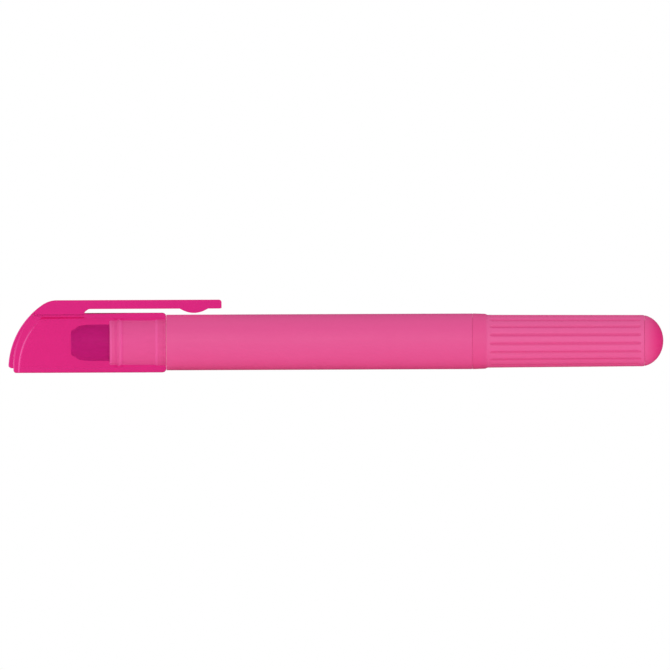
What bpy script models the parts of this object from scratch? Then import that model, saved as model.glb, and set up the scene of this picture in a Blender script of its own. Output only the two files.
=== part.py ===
"""Twist-feed gel highlighter with a clip cap, lying on its side with the clip up.

The pen's axis runs along X: nose of the cap at -X, twist knob at +X. The origin is on the
table under the middle of the pen. Dimensions are written in millimetres times MM, and the
positions along the pen are measured from its middle.
"""

from math import acos, asin, atan, cos, degrees, pi, radians, sin, sqrt

import bmesh
import bpy
from mathutils import Matrix, Vector

MM = 0.001

# Whole pen
LENGTH = 140.0 * MM
NOSE_X = -LENGTH / 2
TAIL_X = LENGTH / 2
CAP_R = 6.4 * MM
ROUND_SIDES = 48
INNER_SIDES = 24
AXIS_Z = CAP_R * cos(pi / ROUND_SIDES)
HAIRLINE = 0.1 * MM

# Barrel: a plain tube
BARREL_R = 5.9 * MM
BARREL_BORE_R = 4.85 * MM
BARREL_FRONT_X = -36.0 * MM
BARREL_REAR_X = 29.1 * MM
BARREL_EDGE = 0.25 * MM

# Nozzle: pressed into the barrel's front, guides the gel stick, and takes the cap on its neck
NECK_FRONT_X = -48.5 * MM
NECK_R = 5.0 * MM
NECK_LIP = 0.35 * MM
NECK_BORE_R = 4.15 * MM
NECK_BEAD_R = 5.12 * MM
NECK_BEAD_X = -46.3 * MM
NECK_BEAD_HALF = 0.6 * MM
NECK_LAND_X = -38.4 * MM
NECK_SLOPE = 0.25 * MM
NOZZLE_PLUG_R = 4.79 * MM
NOZZLE_REAR_X = -31.0 * MM

# Cap: a tube cut off by a raked, curved nose, with a clip strip over the nose and along the top
CAP_MOUTH_X = BARREL_FRONT_X - 0.2 * MM
CAP_BORE_R = 5.3 * MM
CAP_MOUTH_BORE_R = 5.22 * MM
CAP_RIDGE_R = 5.2 * MM
CAP_RIDGE_OFFSET = 0.95 * MM
CAP_RIDGE_HALF = 0.3 * MM
CAP_EDGE = 0.55 * MM
NOSE_CURVE_R = 16.84 * MM
NOSE_CURVE_CENTRE = (NOSE_X + NOSE_CURVE_R, -5.74 * MM)
CROWN_R = 5.4 * MM
STRIP_TOP = 9.12 * MM
STRIP_PROUD = 1.0 * MM
STRIP_SINK = 0.6 * MM
STRIP_LOW_Z = -5.4 * MM
STRIP_LOW_ROUND = 0.7 * MM
STRIP_HALF_WIDTH = 2.5 * MM
NOSE_WALL = 1.1 * MM

# Pocket clip: the springy arm that goes on from the strip
CLIP_THICK = 1.9 * MM
CLIP_UNDER = STRIP_TOP - CLIP_THICK
CLIP_ROOT_X = -52.4 * MM
CLIP_ROOT_GAP = 0.3 * MM
CLIP_SLOT_X = -53.75 * MM
CLIP_END_X = -24.5 * MM
CLIP_END_ROUND = 0.6 * MM
CLIP_EDGE = 0.25 * MM
LUG_X = -30.2 * MM
LUG_HALF = 3.0 * MM
LUG_DEPTH = 0.92 * MM

# Twist knob: a ribbed sleeve with a smooth collar, and a domed plug in its end
COLLAR_R = 5.95 * MM
COLLAR_REAR_X = 32.2 * MM
KNOB_FRONT_X = BARREL_REAR_X + 0.15 * MM
KNOB_EDGE = 0.3 * MM
KNOB_R = 5.62 * MM
KNOB_REAR_X = 66.0 * MM
KNOB_BORE_R = 4.72 * MM
KNOB_STEP_X = 43.1 * MM
KNOB_REAR_BORE_R = 4.3 * MM
RIB_COUNT = 18
RIB_SIDES = 3 * RIB_COUNT
GROOVE_R = 0.5 * MM
GROOVE_DEPTH = 0.35 * MM
GROOVE_FRONT_X = 32.9 * MM
GROOVE_REAR_X = 65.3 * MM
DOME_R = 5.45 * MM
DOME_X = TAIL_X - DOME_R
DOME_STEPS = 6
DOME_SINK = 0.06 * MM
PLUG_SPIGOT_R = 4.24 * MM
PLUG_SPIGOT_X = 59.5 * MM
PLUG_BORE_R = 3.3 * MM
PLUG_FLOOR_X = 67.8 * MM

# Guide bush: pressed into the barrel, carries the knob and keys the screw rod
BUSH_FRONT_X = 17.0 * MM
BUSH_PLUG_R = 4.79 * MM
BUSH_FRONT_BORE_R = 3.9 * MM
GUIDE_FRONT_X = 27.0 * MM
GUIDE_REAR_X = 29.0 * MM
KEY_INSET = 0.2 * MM
FLANGE_R = 5.3 * MM
FLANGE_REAR_X = 30.1 * MM
FLANGE_CLEAR = 0.08 * MM
SPIGOT_R = 4.62 * MM
SPIGOT_BORE_R = 3.6 * MM
SPIGOT_REAR_X = 41.0 * MM
SNAP_BEAD_X = 39.7 * MM
SNAP_BEAD_R = 4.84 * MM
SNAP_BEAD_HALF = 0.5 * MM
SNAP_CLEAR = 0.12 * MM
RING_X = 34.0 * MM
RING_SECTION_R = 0.3 * MM
RING_CENTRE_R = 4.36 * MM
RING_GROOVE_R = 3.95 * MM
RING_GROOVE_HALF = 0.4 * MM

# Screw rod and drive nut: a left-hand thread, so that a clockwise twist feeds the gel out
LEAD = 3.0 * MM
CORE_R = 1.6 * MM
CREST_R = 2.2 * MM
RIDGE_ROOT = 1.5 * MM
RIDGE_CREST = 0.9 * MM
THREAD_CLEAR = 0.15 * MM
THREAD_STEPS = 16
THREAD_FRONT_X = 21.0 * MM
ROD_FRONT_X = 0.8 * MM
ROD_REAR_X = 58.0 * MM
ROD_PLUG_R = 1.6 * MM
ROD_PLUG_X = -2.9 * MM
FLAT_HALF = 1.45 * MM
FLAT_CLEAR = 0.12 * MM
NUT_FRONT_X = 30.5 * MM
NUT_THREAD_REAR_X = 36.5 * MM
NUT_SLEEVE_R = 3.4 * MM
NUT_REAR_BORE_R = 2.5 * MM
NUT_FLANGE_X = 41.3 * MM
NUT_FLANGE_R = 4.64 * MM

# Gel stick and the cup that holds its rear end
STICK_R = 3.9 * MM
STICK_TIP_X = -56.75 * MM
STICK_TIP_R = 2.1 * MM
STICK_SHOULDER_X = -53.4 * MM
CUP_R = 4.7 * MM
CUP_BORE_R = 4.02 * MM
CUP_FRONT_X = -13.5 * MM
CUP_FLOOR_X = -4.5 * MM
CUP_REAR_X = -3.3 * MM
CUP_BOSS_R = 3.0 * MM
CUP_BOSS_REAR_X = 0.7 * MM
CUP_SOCKET_R = 1.7 * MM
CUP_SOCKET_X = -3.0 * MM


def new_collection(name):
    collection = bpy.data.collections.new(name)
    bpy.context.scene.collection.children.link(collection)
    return collection


def plastic(name, colour, roughness):
    """A moulded-plastic material: base colour, roughness, no metal."""
    material = bpy.data.materials.new(name)
    material.use_nodes = True
    shader = material.node_tree.nodes["Principled BSDF"]
    shader.inputs["Base Color"].default_value = (*colour, 1.0)
    shader.inputs["Roughness"].default_value = roughness
    shader.inputs["Metallic"].default_value = 0.0
    return material


def new_frame(name, location, parent=None):
    """An empty on a moving group's joint axis. Its parts are parented to it."""
    frame = bpy.data.objects.new(name, None)
    frame.empty_display_size = CAP_R
    frame.location = location
    frame.parent = parent
    pen.objects.link(frame)
    return frame


def add_part(name, mesh, material, frame):
    """Puts a finished mesh on its group's frame, shaded smooth up to its real edges."""
    mesh.shade_smooth()
    mesh.set_sharp_from_angle(angle=radians(30))
    mesh.materials.append(material)
    part = bpy.data.objects.new(name, mesh)
    part.parent = frame
    pen.objects.link(part)
    return part


def add_cutter(name, mesh):
    """Puts a mesh that only shapes other parts on the pen's axis, out of renders."""
    cutter = bpy.data.objects.new(name, mesh)
    cutter.location = (0, 0, AXIS_Z)
    cutter.hide_render = True
    cutter.display_type = "WIRE"
    cutters.objects.link(cutter)
    return cutter


def boolean(target, operation, cutter):
    modifier = target.modifiers.new(f"{operation.lower()} {cutter.name}", "BOOLEAN")
    modifier.operation = operation
    modifier.object = cutter
    modifier.solver = "EXACT"


def evaluated_mesh(obj, name):
    """The object's mesh with its modifiers applied, or a curve's surface."""
    graph = bpy.context.evaluated_depsgraph_get()
    mesh = bpy.data.meshes.new_from_object(obj.evaluated_get(graph))
    mesh.name = name
    return mesh


def turned_mesh(name, profile, sides):
    """A Screw of a profile of (position along the pen, radius) points about the pen's axis.

    A profile that starts and ends on the axis makes a solid, and any other is closed into a
    ring. A flat side faces straight down.
    """
    on_axis = profile[0][1] == 0 and profile[-1][1] == 0
    area = sum(x0 * r1 - x1 * r0 for (x0, r0), (x1, r1) in zip(profile, profile[1:] + profile[:1]))
    points = profile if area > 0 else profile[::-1]
    count = len(points)
    edges = [(i, (i + 1) % count) for i in range(count - 1 if on_axis else count)]
    outline = bpy.data.meshes.new(name)
    outline.from_pydata([(r, 0, x) for x, r in points], edges, [])
    turned = bpy.data.objects.new(name, outline)
    bpy.context.scene.collection.objects.link(turned)
    screw = turned.modifiers.new("turn", "SCREW")
    screw.axis = "Z"
    screw.steps = sides
    screw.render_steps = sides
    screw.use_merge_vertices = True
    screw.merge_threshold = 0.000001
    mesh = evaluated_mesh(turned, name)
    bpy.data.objects.remove(turned)
    half_side = Matrix.Rotation(pi / sides, 4, "Z")
    mesh.transform(Matrix.Rotation(pi / 2, 4, "Y") @ half_side)
    return mesh


def plate_mesh(name, outline, half_width):
    """A flat outline of (position along the pen, height over its axis), given thickness along Y."""
    curve = bpy.data.curves.new(name, "CURVE")
    curve.dimensions = "2D"
    curve.fill_mode = "BOTH"
    curve.extrude = half_width
    spline = curve.splines.new("POLY")
    spline.points.add(len(outline) - 1)
    for point, (x, z) in zip(spline.points, outline):
        point.co = (x, z, 0, 1)
    spline.use_cyclic_u = True
    plate = bpy.data.objects.new(name, curve)
    bpy.context.scene.collection.objects.link(plate)
    mesh = evaluated_mesh(plate, name)
    bpy.data.objects.remove(plate)
    mesh.transform(Matrix.Rotation(pi / 2, 4, "X"))
    closed = bmesh.new()
    closed.from_mesh(mesh)
    bmesh.ops.remove_doubles(closed, verts=closed.verts, dist=0.000001)
    bmesh.ops.recalc_face_normals(closed, faces=closed.faces)
    closed.to_mesh(mesh)
    closed.free()
    return mesh


def box_mesh(name, low, high):
    """A box between two corners, with heights over the pen's axis."""
    size = Vector(high) - Vector(low)
    middle = (Vector(high) + Vector(low)) / 2
    shape = bmesh.new()
    bmesh.ops.create_cube(shape, size=1, matrix=Matrix.Translation(middle) @ Matrix.Diagonal((*size, 1)))
    mesh = bpy.data.meshes.new(name)
    shape.to_mesh(mesh)
    shape.free()
    return mesh


def arc(centre, radius, start, end, steps):
    """Points on a circle from one angle to another, in degrees, both ends included."""
    turns = [radians(start + (end - start) * i / steps) for i in range(steps + 1)]
    return [(centre[0] + radius * cos(a), centre[1] + radius * sin(a)) for a in turns]


def nose_curve(inset, low_z, steps=10):
    """The raked nose, from its lowest point up and over the crown to the flat top.

    It is one large arc, joined smoothly to a small one that ends level with the clip's top.
    inset moves the whole curve inwards.
    """
    crown_z = STRIP_TOP - CROWN_R
    rise = crown_z - NOSE_CURVE_CENTRE[1]
    reach = NOSE_CURVE_R - CROWN_R
    join = 180 - degrees(asin(rise / reach))
    crown_centre = (NOSE_CURVE_CENTRE[0] - sqrt(reach**2 - rise**2), crown_z)
    drop = low_z - NOSE_CURVE_CENTRE[1]
    start = 180 - degrees(asin(drop / (NOSE_CURVE_R - inset)))
    long_arc = arc(NOSE_CURVE_CENTRE, NOSE_CURVE_R - inset, start, join, steps)
    return long_arc[:-1] + arc(crown_centre, CROWN_R - inset, join, 90, steps // 2)


def nose_form(name, inset):
    """Everything behind the nose curve, as a block that trims a round shape to the nose."""
    wide = 2 * CAP_R
    curve = nose_curve(inset, -wide * 0.6)
    right = CAP_MOUTH_X + wide
    return plate_mesh(name, curve + [(right, curve[-1][1]), (right, curve[0][1])], wide)


def thread_mesh(name, start_x, length, clear):
    """A left-hand helical ridge of trapezium section. clear thickens it, to cut a nut's groove.

    The section is spun round the pen's axis while it moves along. Every ridge passes through
    the same helix, so a nut's groove always lies on the rod's ridge.
    """
    root = RIDGE_ROOT / 2 + clear
    crest = RIDGE_CREST / 2 + clear
    sunk_r = CORE_R - 0.3 * MM
    turns = length / LEAD
    phase = -2 * pi * (start_x - THREAD_FRONT_X) / LEAD
    section = [(-root, sunk_r), (root, sunk_r), (crest, CREST_R + clear), (-crest, CREST_R + clear)]
    shape = bmesh.new()
    corners = [shape.verts.new((start_x + x, 0, r)) for x, r in section]
    face = shape.faces.new(corners)
    bmesh.ops.rotate(shape, verts=corners, cent=(0, 0, 0), matrix=Matrix.Rotation(phase, 3, "X"))
    steps = round(turns * THREAD_STEPS)
    bmesh.ops.spin(
        shape,
        geom=[face, *face.edges, *corners],
        cent=(0, 0, 0),
        axis=(1, 0, 0),
        dvec=(LEAD / THREAD_STEPS, 0, 0),
        angle=-2 * pi * steps / THREAD_STEPS,
        steps=steps,
    )
    bmesh.ops.holes_fill(shape, edges=[edge for edge in shape.edges if edge.is_boundary])
    bmesh.ops.recalc_face_normals(shape, faces=shape.faces)
    mesh = bpy.data.meshes.new(name)
    shape.to_mesh(mesh)
    shape.free()
    return mesh


def make_barrel_shell():
    """The long tube, open at both ends for the nozzle and the guide bush."""
    profile = [
        (BARREL_FRONT_X, BARREL_R - BARREL_EDGE),
        (BARREL_FRONT_X + BARREL_EDGE, BARREL_R),
        (BARREL_REAR_X, BARREL_R),
        (BARREL_REAR_X, BARREL_BORE_R),
        (BARREL_FRONT_X, BARREL_BORE_R),
    ]
    mesh = turned_mesh("barrel_shell", profile, ROUND_SIDES)
    return add_part("barrel_shell", mesh, body_plastic, barrel_frame)


def make_front_nozzle():
    """A neck with a plug behind it. The bead near its mouth clicks between the cap's ridges."""
    bead_front = NECK_BEAD_X - NECK_BEAD_HALF
    bead_rear = NECK_BEAD_X + NECK_BEAD_HALF
    shoulder_x = BARREL_FRONT_X - HAIRLINE
    profile = [
        (NECK_FRONT_X, NECK_R - NECK_LIP),
        (NECK_FRONT_X + NECK_LIP, NECK_R),
        (bead_front, NECK_R),
        (bead_front + NECK_SLOPE, NECK_BEAD_R),
        (bead_rear - NECK_SLOPE, NECK_BEAD_R),
        (bead_rear, NECK_R),
        (NECK_LAND_X, NECK_R),
        (NECK_LAND_X + NECK_SLOPE, NECK_BEAD_R),
        (shoulder_x, NECK_BEAD_R),
        (shoulder_x, NOZZLE_PLUG_R),
        (NOZZLE_REAR_X, NOZZLE_PLUG_R),
        (NOZZLE_REAR_X, NECK_BORE_R),
        (NECK_FRONT_X, NECK_BORE_R),
    ]
    mesh = turned_mesh("front_nozzle", profile, ROUND_SIDES)
    return add_part("front_nozzle", mesh, nozzle_plastic, barrel_frame)


def make_guide_bush():
    """Pressed into the barrel's rear. Its wall holds the rod's flats, and the knob turns on its spigot."""
    lead_in = 0.4 * MM
    outside = [
        (BUSH_FRONT_X, BUSH_PLUG_R - lead_in),
        (BUSH_FRONT_X + lead_in, BUSH_PLUG_R),
        (BARREL_REAR_X + HAIRLINE, BUSH_PLUG_R),
        (BARREL_REAR_X + HAIRLINE, FLANGE_R),
        (FLANGE_REAR_X, FLANGE_R),
        (FLANGE_REAR_X, SPIGOT_R),
        (RING_X - RING_GROOVE_HALF, SPIGOT_R),
        (RING_X - RING_GROOVE_HALF, RING_GROOVE_R),
        (RING_X + RING_GROOVE_HALF, RING_GROOVE_R),
        (RING_X + RING_GROOVE_HALF, SPIGOT_R),
        (SNAP_BEAD_X - SNAP_BEAD_HALF, SPIGOT_R),
        (SNAP_BEAD_X - SNAP_BEAD_HALF / 2, SNAP_BEAD_R),
        (SNAP_BEAD_X + SNAP_BEAD_HALF / 2, SNAP_BEAD_R),
        (SNAP_BEAD_X + SNAP_BEAD_HALF, SPIGOT_R),
        (SPIGOT_REAR_X - lead_in, SPIGOT_R),
        (SPIGOT_REAR_X, SPIGOT_R - lead_in),
    ]
    hole_r = CREST_R + FLAT_CLEAR
    inside = [
        (SPIGOT_REAR_X, SPIGOT_BORE_R),
        (GUIDE_REAR_X, SPIGOT_BORE_R),
        (GUIDE_REAR_X, hole_r),
        (GUIDE_FRONT_X, hole_r),
        (GUIDE_FRONT_X, BUSH_FRONT_BORE_R),
        (BUSH_FRONT_X, BUSH_FRONT_BORE_R),
    ]
    mesh = turned_mesh("guide_bush", outside + inside, INNER_SIDES)
    bush = add_part("guide_bush", mesh, drive_plastic, barrel_frame)
    for side in (-1, 1):
        low, high = sorted((side * (FLAT_HALF + FLAT_CLEAR), side * (hole_r + 0.4 * MM)))
        front_corner = (GUIDE_FRONT_X + KEY_INSET, -hole_r, low)
        rear_corner = (GUIDE_REAR_X - KEY_INSET, hole_r, high)
        boolean(bush, "UNION", add_cutter("guide_key", box_mesh("guide_key", front_corner, rear_corner)))
    return bush


def make_friction_ring():
    """The small rubber ring between spigot and knob that keeps the knob from turning by itself."""
    bpy.ops.mesh.primitive_torus_add(
        major_segments=INNER_SIDES,
        minor_segments=8,
        major_radius=RING_CENTRE_R,
        minor_radius=RING_SECTION_R,
        location=(RING_X, 0, 0),
        rotation=(0, pi / 2, 0),
    )
    ring = bpy.context.object
    ring.name = "friction_ring"
    ring.parent = barrel_frame
    ring.data.materials.append(ring_rubber)
    ring.data.shade_smooth()
    for collection in ring.users_collection:
        collection.objects.unlink(ring)
    pen.objects.link(ring)
    return ring


def make_cap_shell():
    """The cap's tube, trimmed to the raked nose, with the clip strip's root over the nose and top."""
    tube = [
        (NOSE_X - CAP_R, 0),
        (NOSE_X - CAP_R, CAP_R),
        (CAP_MOUTH_X - CAP_EDGE, CAP_R),
        (CAP_MOUTH_X - CAP_EDGE * 0.3, CAP_R - CAP_EDGE * 0.3),
        (CAP_MOUTH_X, CAP_R - CAP_EDGE),
        (CAP_MOUTH_X, 0),
    ]
    cap = add_part("cap_shell", turned_mesh("cap_shell", tube, ROUND_SIDES), cap_plastic, cap_frame)
    boolean(cap, "INTERSECT", add_cutter("nose_outside", nose_form("nose_outside", STRIP_PROUD)))
    boolean(cap, "UNION", add_cutter("strip_root", strip_root_mesh()))

    ridge = []
    for x in (NECK_BEAD_X + CAP_RIDGE_OFFSET, NECK_BEAD_X - CAP_RIDGE_OFFSET):
        ridge += [
            (x + CAP_RIDGE_HALF, CAP_BORE_R),
            (x + CAP_RIDGE_HALF / 2, CAP_RIDGE_R),
            (x - CAP_RIDGE_HALF / 2, CAP_RIDGE_R),
            (x - CAP_RIDGE_HALF, CAP_BORE_R),
        ]
    bore = [
        (CAP_MOUTH_X + CAP_R, 0),
        (CAP_MOUTH_X + CAP_R, CAP_MOUTH_BORE_R),
        (NECK_LAND_X, CAP_MOUTH_BORE_R),
        (NECK_LAND_X - 0.3 * MM, CAP_BORE_R),
        *ridge,
        (NOSE_X - CAP_R, CAP_BORE_R),
        (NOSE_X - CAP_R, 0),
    ]
    hollow = add_cutter("cap_hollow", turned_mesh("cap_hollow", bore, ROUND_SIDES))
    inside = nose_form("nose_inside", STRIP_PROUD + NOSE_WALL)
    boolean(hollow, "INTERSECT", add_cutter("nose_inside", inside))
    boolean(cap, "DIFFERENCE", hollow)
    return cap


def strip_root_mesh():
    """The clip strip from its rounded lower end, over the nose, to where the springy arm begins.

    Its underside is sunk into the cap's wall. Behind the crown a web joins it to the tube, and
    ends in the slanted front of the slot under the arm.
    """
    round_z = STRIP_LOW_Z + STRIP_LOW_ROUND
    outer = nose_curve(0, round_z)
    corner_x = outer[0][0]
    low_end = arc((corner_x + STRIP_LOW_ROUND, round_z), STRIP_LOW_ROUND, 270, 180, 4)[:-1]
    web_z = CAP_BORE_R + STRIP_SINK / 2
    inner = [point for point in nose_curve(STRIP_PROUD + STRIP_SINK, STRIP_LOW_Z) if point[1] < web_z]
    outline = low_end + outer
    outline += [
        (CLIP_ROOT_X - CLIP_ROOT_GAP, STRIP_TOP),
        (CLIP_ROOT_X - CLIP_ROOT_GAP, CLIP_UNDER),
        (CLIP_SLOT_X, CAP_R - 0.1 * MM),
        (CLIP_SLOT_X, web_z),
    ]
    return plate_mesh("strip_root", outline + inner[::-1], STRIP_HALF_WIDTH)


def make_pocket_clip():
    """The springy arm: a flat bar with a rounded end and a shallow lug that presses on the barrel."""
    lug_r = (LUG_HALF**2 + LUG_DEPTH**2) / (2 * LUG_DEPTH)
    lug_spread = degrees(acos((lug_r - LUG_DEPTH) / lug_r))
    lug_centre = (LUG_X, CLIP_UNDER - LUG_DEPTH + lug_r)
    lug = arc(lug_centre, lug_r, 270 - lug_spread, 270 + lug_spread, 8)
    end_centre = (CLIP_END_X - CLIP_END_ROUND, STRIP_TOP - CLIP_END_ROUND)
    outline = [
        (CLIP_ROOT_X, STRIP_TOP),
        (CLIP_ROOT_X, CLIP_UNDER),
        *lug,
        (CLIP_END_X, CLIP_UNDER),
        *arc(end_centre, CLIP_END_ROUND, 0, 90, 4),
    ]
    mesh = plate_mesh("pocket_clip", outline, STRIP_HALF_WIDTH)
    mesh.transform(Matrix.Translation(-clip_frame.location))
    clip = add_part("pocket_clip", mesh, cap_plastic, clip_frame)
    bevel = clip.modifiers.new("edge", "BEVEL")
    bevel.width = CLIP_EDGE
    bevel.segments = 1
    bevel.limit_method = "ANGLE"
    bevel.angle_limit = radians(60)
    return clip


def make_twist_knob():
    """The sleeve that the fingers turn: smooth collar, long ribs, and a bore stepped for nut and plug."""
    counterbore_r = FLANGE_R + FLANGE_CLEAR
    counterbore_x = FLANGE_REAR_X + 0.2 * MM
    snap_front = SNAP_BEAD_X - SNAP_BEAD_HALF - SNAP_CLEAR
    snap_rear = SNAP_BEAD_X + SNAP_BEAD_HALF + SNAP_CLEAR
    end_turn = degrees(acos((KNOB_REAR_X - DOME_X) / DOME_R))
    outside = [
        (KNOB_FRONT_X, COLLAR_R - KNOB_EDGE / 2),
        (KNOB_FRONT_X + KNOB_EDGE, COLLAR_R),
        (COLLAR_REAR_X - KNOB_EDGE, COLLAR_R),
        (COLLAR_REAR_X + KNOB_EDGE, KNOB_R),
        *arc((DOME_X, 0), DOME_R, 90, end_turn, 2),
    ]
    inside = [
        (KNOB_REAR_X, KNOB_REAR_BORE_R),
        (KNOB_STEP_X, KNOB_REAR_BORE_R),
        (KNOB_STEP_X, KNOB_BORE_R),
        (snap_rear, KNOB_BORE_R),
        (snap_rear - SNAP_BEAD_HALF / 2, SNAP_BEAD_R + SNAP_CLEAR),
        (snap_front + SNAP_BEAD_HALF / 2, SNAP_BEAD_R + SNAP_CLEAR),
        (snap_front, KNOB_BORE_R),
        (counterbore_x, KNOB_BORE_R),
        (counterbore_x, counterbore_r),
        (KNOB_FRONT_X, counterbore_r),
    ]
    mesh = turned_mesh("twist_knob", outside + inside, RIB_SIDES)
    knob = add_part("twist_knob", mesh, body_plastic, knob_frame)
    boolean(knob, "DIFFERENCE", add_cutter("rib_grooves", groove_mesh()))
    return knob


def groove_mesh():
    """A ring of rods that sink the grooves between the knob's ribs, with a rib on top.

    Each rod leans with the knob's taper, and its bevelled ends make the groove run out.
    """
    middle_x = (GROOVE_FRONT_X + GROOVE_REAR_X) / 2
    taper = (KNOB_R - DOME_R) / (DOME_X - COLLAR_REAR_X)
    middle_r = KNOB_R - taper * (middle_x - COLLAR_REAR_X) - GROOVE_DEPTH + GROOVE_R
    shape = bmesh.new()
    for i in range(RIB_COUNT):
        turn = Matrix.Rotation(2 * pi * (i + 0.5) / RIB_COUNT, 4, "X")
        along = Matrix.Rotation(pi / 2 + atan(taper), 4, "Y")
        bmesh.ops.create_cone(
            shape,
            cap_ends=True,
            segments=8,
            radius1=GROOVE_R,
            radius2=GROOVE_R,
            depth=GROOVE_REAR_X - GROOVE_FRONT_X,
            matrix=turn @ Matrix.Translation((middle_x, 0, middle_r)) @ along,
        )
    ends = [edge for edge in shape.edges if len({round(v.co.x / GROOVE_DEPTH) for v in edge.verts}) == 1]
    bmesh.ops.bevel(shape, geom=ends, offset=GROOVE_DEPTH, segments=1, affect="EDGES")
    mesh = bpy.data.meshes.new("rib_grooves")
    shape.to_mesh(mesh)
    shape.free()
    return mesh


def make_end_plug():
    """The dome that closes the knob: part of a sphere on a hollow spigot."""
    shoulder_x = KNOB_REAR_X + HAIRLINE
    start = degrees(acos((shoulder_x - DOME_X) / (DOME_R - DOME_SINK)))
    curve = arc((DOME_X, 0), DOME_R - DOME_SINK, start / DOME_STEPS, start, DOME_STEPS - 1)
    dome = [(TAIL_X, 0), *curve]
    spigot = [
        (shoulder_x, PLUG_SPIGOT_R),
        (PLUG_SPIGOT_X, PLUG_SPIGOT_R),
        (PLUG_SPIGOT_X, PLUG_BORE_R),
        (PLUG_FLOOR_X - 0.8 * MM, PLUG_BORE_R),
        (PLUG_FLOOR_X, PLUG_BORE_R - 0.8 * MM),
        (PLUG_FLOOR_X, 0),
    ]
    return add_part("end_plug", turned_mesh("end_plug", dome + spigot, RIB_SIDES), body_plastic, knob_frame)


def make_drive_nut():
    """Pressed into the knob, with a threaded sleeve inside the spigot that drives the screw rod."""
    bore_r = CORE_R + THREAD_CLEAR
    profile = [
        (NUT_FRONT_X, NUT_SLEEVE_R),
        (NUT_FLANGE_X, NUT_SLEEVE_R),
        (NUT_FLANGE_X, NUT_FLANGE_R),
        (KNOB_STEP_X - HAIRLINE, NUT_FLANGE_R),
        (KNOB_STEP_X - HAIRLINE, NUT_REAR_BORE_R),
        (NUT_THREAD_REAR_X, NUT_REAR_BORE_R),
        (NUT_THREAD_REAR_X, bore_r),
        (NUT_FRONT_X, bore_r),
    ]
    mesh = turned_mesh("drive_nut", profile, INNER_SIDES)
    nut = add_part("drive_nut", mesh, drive_plastic, knob_frame)
    length = NUT_THREAD_REAR_X - NUT_FRONT_X + 2 * LEAD
    groove = thread_mesh("nut_thread", NUT_FRONT_X - LEAD, length, THREAD_CLEAR)
    boolean(nut, "DIFFERENCE", add_cutter("nut_thread", groove))
    return nut


def make_screw_rod():
    """A threaded rod with two flats, plugged into the back of the cup. It slides and never turns."""
    point = 0.5 * MM
    profile = [
        (ROD_PLUG_X, 0),
        (ROD_PLUG_X, ROD_PLUG_R - 0.3 * MM),
        (ROD_PLUG_X + 0.3 * MM, ROD_PLUG_R),
        (ROD_FRONT_X, ROD_PLUG_R),
        (ROD_FRONT_X, CREST_R),
        (THREAD_FRONT_X - LEAD / 2, CREST_R),
        (THREAD_FRONT_X - LEAD / 2, CORE_R),
        (ROD_REAR_X - point, CORE_R),
        (ROD_REAR_X, CORE_R - point),
        (ROD_REAR_X, 0),
    ]
    mesh = turned_mesh("screw_rod", profile, THREAD_STEPS)
    rod = add_part("screw_rod", mesh, drive_plastic, carrier_frame)
    ridge = thread_mesh("rod_thread", THREAD_FRONT_X, ROD_REAR_X - THREAD_FRONT_X - LEAD / 2, 0)
    boolean(rod, "UNION", add_cutter("rod_thread", ridge))
    wide = 2 * CREST_R
    between = box_mesh("rod_flats", (ROD_PLUG_X - wide, -wide, -FLAT_HALF), (TAIL_X, wide, FLAT_HALF))
    boolean(rod, "INTERSECT", add_cutter("rod_flats", between))
    return rod


def make_stick_cup():
    """Holds the rear of the gel stick. The screw rod plugs into the boss behind its floor."""
    profile = [
        (CUP_FLOOR_X, 0),
        (CUP_FLOOR_X, CUP_BORE_R),
        (CUP_FRONT_X, CUP_BORE_R),
        (CUP_FRONT_X, CUP_R - 0.3 * MM),
        (CUP_FRONT_X + 0.3 * MM, CUP_R),
        (CUP_REAR_X, CUP_R),
        (CUP_REAR_X, CUP_BOSS_R),
        (CUP_BOSS_REAR_X, CUP_BOSS_R),
        (CUP_BOSS_REAR_X, CUP_SOCKET_R),
        (CUP_SOCKET_X, CUP_SOCKET_R),
        (CUP_SOCKET_X, 0),
    ]
    return add_part("stick_cup", turned_mesh("stick_cup", profile, INNER_SIDES), drive_plastic, carrier_frame)


def make_gel_stick():
    """The solid gel crayon: a round stick whose end curves in to a small flat tip."""
    depth = STICK_SHOULDER_X - STICK_TIP_X
    quarter = arc((1, 0), 1, 180, 90, 4)
    tip = [(STICK_TIP_X + depth * x, STICK_TIP_R + (STICK_R - STICK_TIP_R) * r) for x, r in quarter]
    rear_x = CUP_FLOOR_X - HAIRLINE
    profile = [(STICK_TIP_X, 0), *tip, (rear_x, STICK_R), (rear_x, 0)]
    return add_part("gel_stick", turned_mesh("gel_stick", profile, INNER_SIDES), gel, carrier_frame)


for leftover in list(bpy.data.objects):
    bpy.data.objects.remove(leftover)

pen = new_collection("gel_highlighter")
cutters = new_collection("cutters")
cap_plastic = plastic("clear pink cap", (0.72, 0.024, 0.21), 0.25)
body_plastic = plastic("frosted pink body", (0.78, 0.11, 0.30), 0.4)
nozzle_plastic = plastic("pale pink nozzle", (0.90, 0.50, 0.62), 0.4)
drive_plastic = plastic("natural drive plastic", (0.85, 0.60, 0.68), 0.45)
ring_rubber = plastic("grey ring rubber", (0.25, 0.22, 0.24), 0.7)
gel = plastic("magenta gel", (0.48, 0.014, 0.155), 0.35)

barrel_frame = new_frame("barrel_frame", (0, 0, AXIS_Z))
cap_frame = new_frame("cap_slide_axis", (0, 0, 0), barrel_frame)
clip_frame = new_frame("clip_root_axis", (CLIP_ROOT_X, 0, (STRIP_TOP + CLIP_UNDER) / 2), cap_frame)
knob_frame = new_frame("knob_twist_axis", (0, 0, 0), barrel_frame)
carrier_frame = new_frame("stick_feed_axis", (0, 0, 0), barrel_frame)

make_barrel_shell()
make_front_nozzle()
make_guide_bush()
make_friction_ring()
make_cap_shell()
make_pocket_clip()
make_twist_knob()
make_end_plug()
make_drive_nut()
make_stick_cup()
make_screw_rod()
make_gel_stick()
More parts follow.
